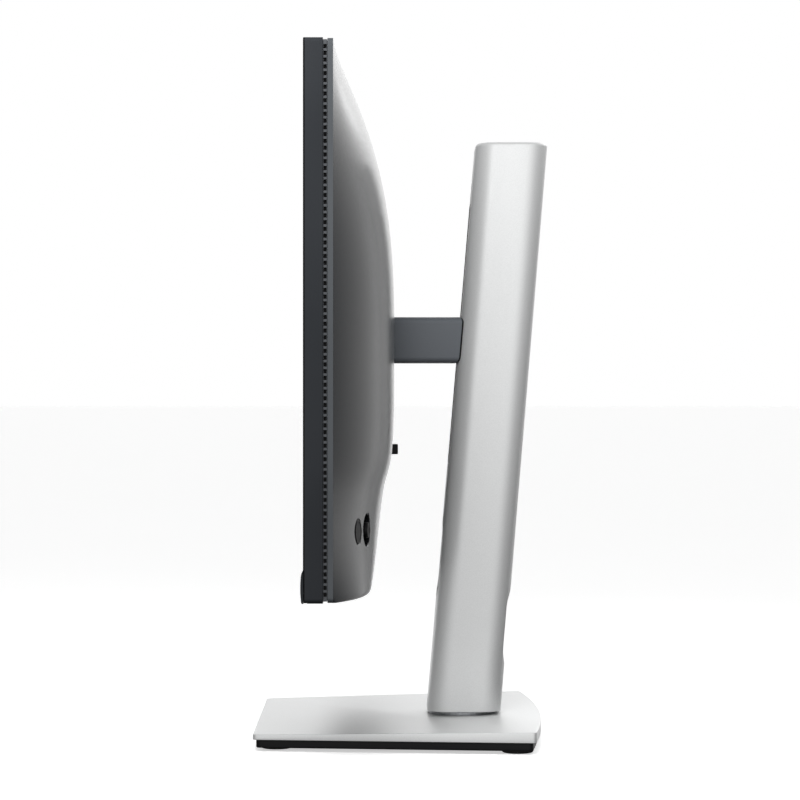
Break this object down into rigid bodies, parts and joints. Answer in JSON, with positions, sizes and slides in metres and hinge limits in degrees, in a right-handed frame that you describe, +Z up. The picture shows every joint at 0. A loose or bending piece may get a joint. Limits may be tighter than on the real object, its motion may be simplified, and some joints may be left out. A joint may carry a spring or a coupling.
{
  "type": "computer monitor",
  "caption": "Flat-panel computer monitor with a curved back cover on a leaning column stand with a wedge base; it lifts, tilts, swivels and pivots.",
  "frame": {"origin": "on the desk, under the middle of the whole object's box", "axes": "+X to the right as the screen is faced, +Y to the back, +Z up"},
  "size_m": [0.538, 0.1881, 0.4248],
  "materials": {
    "dark_plastic": "fine-grained dark grey moulded plastic",
    "cover_plastic": "fine-grained dark grey moulded plastic, slightly satin",
    "black_plastic": "black moulded plastic",
    "silver_paint": "satin silver paint with a fine metallic grain",
    "steel": "plain zinc-plated steel",
    "spring_steel": "blued spring steel",
    "rubber": "matt black rubber",
    "screen_glass": "anti-glare screen surface, black when off",
    "optical_plastic": "white optical sheet",
    "circuit_board": "green solder mask",
    "nylon": "natural nylon"
  },
  "bodies": {
    "base": {"base_plate": "silver_paint", "base_underside": "black_plastic", "foot_front_left": "rubber", "foot_front_right": "rubber", "foot_rear_left": "rubber", "foot_rear_right": "rubber", "swivel_race": "nylon", "base_screw_left": "steel", "base_screw_right": "steel"},
    "column": {"column_shell": "silver_paint", "turntable": "steel", "swivel_retainer": "steel", "mast_channel": "steel", "lift_rail_left": "nylon", "lift_rail_right": "nylon", "slot_liner": "black_plastic", "cable_grommet": "black_plastic", "spring_strip": "spring_steel"},
    "stand_screw": {"stand_screw": "steel"},
    "stand_screw_ring": {"stand_screw_ring": "steel"},
    "carriage": {"lift_carriage": "nylon", "arm_bracket": "steel", "arm_cover": "dark_plastic", "tilt_pin": "steel", "friction_washer_left": "spring_steel", "friction_washer_right": "spring_steel"},
    "spring_coil": {"spring_coil": "spring_steel"},
    "tilt_head": {"tilt_knuckle": "steel", "pivot_hub": "steel"},
    "display": {"mount_plate": "dark_plastic", "rear_chassis": "steel", "chassis_screw_lower_left": "steel", "chassis_screw_lower_right": "steel", "chassis_screw_upper_left": "steel", "chassis_screw_upper_right": "steel", "back_cover": "cover_plastic", "middle_frame": "dark_plastic", "chin_cover": "dark_plastic", "lcd_panel": "screen_glass", "diffuser_sheets": "optical_plastic", "light_guide": "optical_plastic", "backlight_tray": "steel", "led_strip": "nylon", "driver_board": "circuit_board", "main_board": "circuit_board", "power_board": "circuit_board", "power_inlet": "black_plastic", "hdmi_socket": "steel", "display_socket": "steel", "usb_upstream_socket": "steel", "usb_socket_pair": "steel", "vent_grille": "black_plastic", "power_light": "optical_plastic", "joystick_switch": "black_plastic"},
    "power_button": {"power_button": "black_plastic"},
    "joystick_press": {"joystick_plunger": "nylon"},
    "joystick_gimbal": {"joystick_gimbal": "nylon"},
    "joystick": {"joystick_knob": "black_plastic"},
    "release_button": {"release_button": "black_plastic"},
    "release_latch": {"release_latch": "steel"}
  },
  "joints": [
    {"name": "column_swivel", "type": "hinge", "parent": "base", "child": "column", "pos_m": [0, 0.0385, 0.012], "axis": [0, 0, 1], "range_deg": [-45, 45]},
    {"name": "stand_screw_turn", "type": "hinge", "parent": "column", "child": "stand_screw", "pos_m": [0, 0.0385, 0.0035], "axis": [0, 0, 1], "continuous": true},
    {"name": "screw_ring_fold", "type": "hinge", "parent": "stand_screw", "child": "stand_screw_ring", "pos_m": [0, 0.0385, 0.0019], "axis": [-1, 0, 0], "range_deg": [0, 90]},
    {"name": "arm_lift", "type": "slide", "parent": "column", "child": "carriage", "axis": [0, 0.0839, 0.9965], "range_m": [-0.06, 0.07]},
    {"name": "spring_coil_turn", "type": "hinge", "parent": "carriage", "child": "spring_coil", "pos_m": [0, 0.063, 0.29994], "axis": [1, 0, 0], "range_deg": [-502, 430]},
    {"name": "head_tilt", "type": "hinge", "parent": "carriage", "child": "tilt_head", "pos_m": [0, -0.008, 0.2565], "axis": [-1, 0, 0], "range_deg": [-5, 21]},
    {"name": "head_pivot", "type": "hinge", "parent": "tilt_head", "child": "display", "pos_m": [0, -0.02, 0.2565], "axis": [0, 1, 0], "range_deg": [-8, 8]},
    {"name": "power_button_press", "type": "slide", "parent": "display", "child": "power_button", "axis": [0.2522, 0.9677, 0.0029], "range_m": [-0.0008, 0], "stiffness_N_per_m": 400, "springref_m": 0.001},
    {"name": "joystick_press", "type": "slide", "parent": "display", "child": "joystick_press", "axis": [0.1968, 0.9804, -0.0104], "range_m": [-0.0006, 0], "stiffness_N_per_m": 400, "springref_m": 0.001},
    {"name": "joystick_up_down", "type": "hinge", "parent": "joystick_press", "child": "joystick_gimbal", "pos_m": [0.20323, -0.03134, 0.14209], "axis": [0.9804, -0.1968, 0], "range_deg": [-8, 8], "stiffness_Nm_per_rad": 0.01},
    {"name": "joystick_left_right", "type": "hinge", "parent": "joystick_gimbal", "child": "joystick", "pos_m": [0.20323, -0.03134, 0.14209], "axis": [0.002, 0.0102, 0.9999], "range_deg": [-8, 8], "stiffness_Nm_per_rad": 0.01},
    {"name": "release_press", "type": "slide", "parent": "display", "child": "release_button", "axis": [0, 1, 0], "range_m": [-0.0022, 0], "stiffness_N_per_m": 500, "springref_m": 0.0015},
    {"name": "release_latch_slide", "type": "slide", "parent": "display", "child": "release_latch", "axis": [0, 0, 1], "range_m": [-0.0034, 0]}
  ],
  "couplings": [
    {"joint": "spring_coil_turn", "follows": "arm_lift", "rad_per_m": -125},
    {"joint": "release_latch_slide", "follows": "release_press", "ratio": 1.4545}
  ]
}
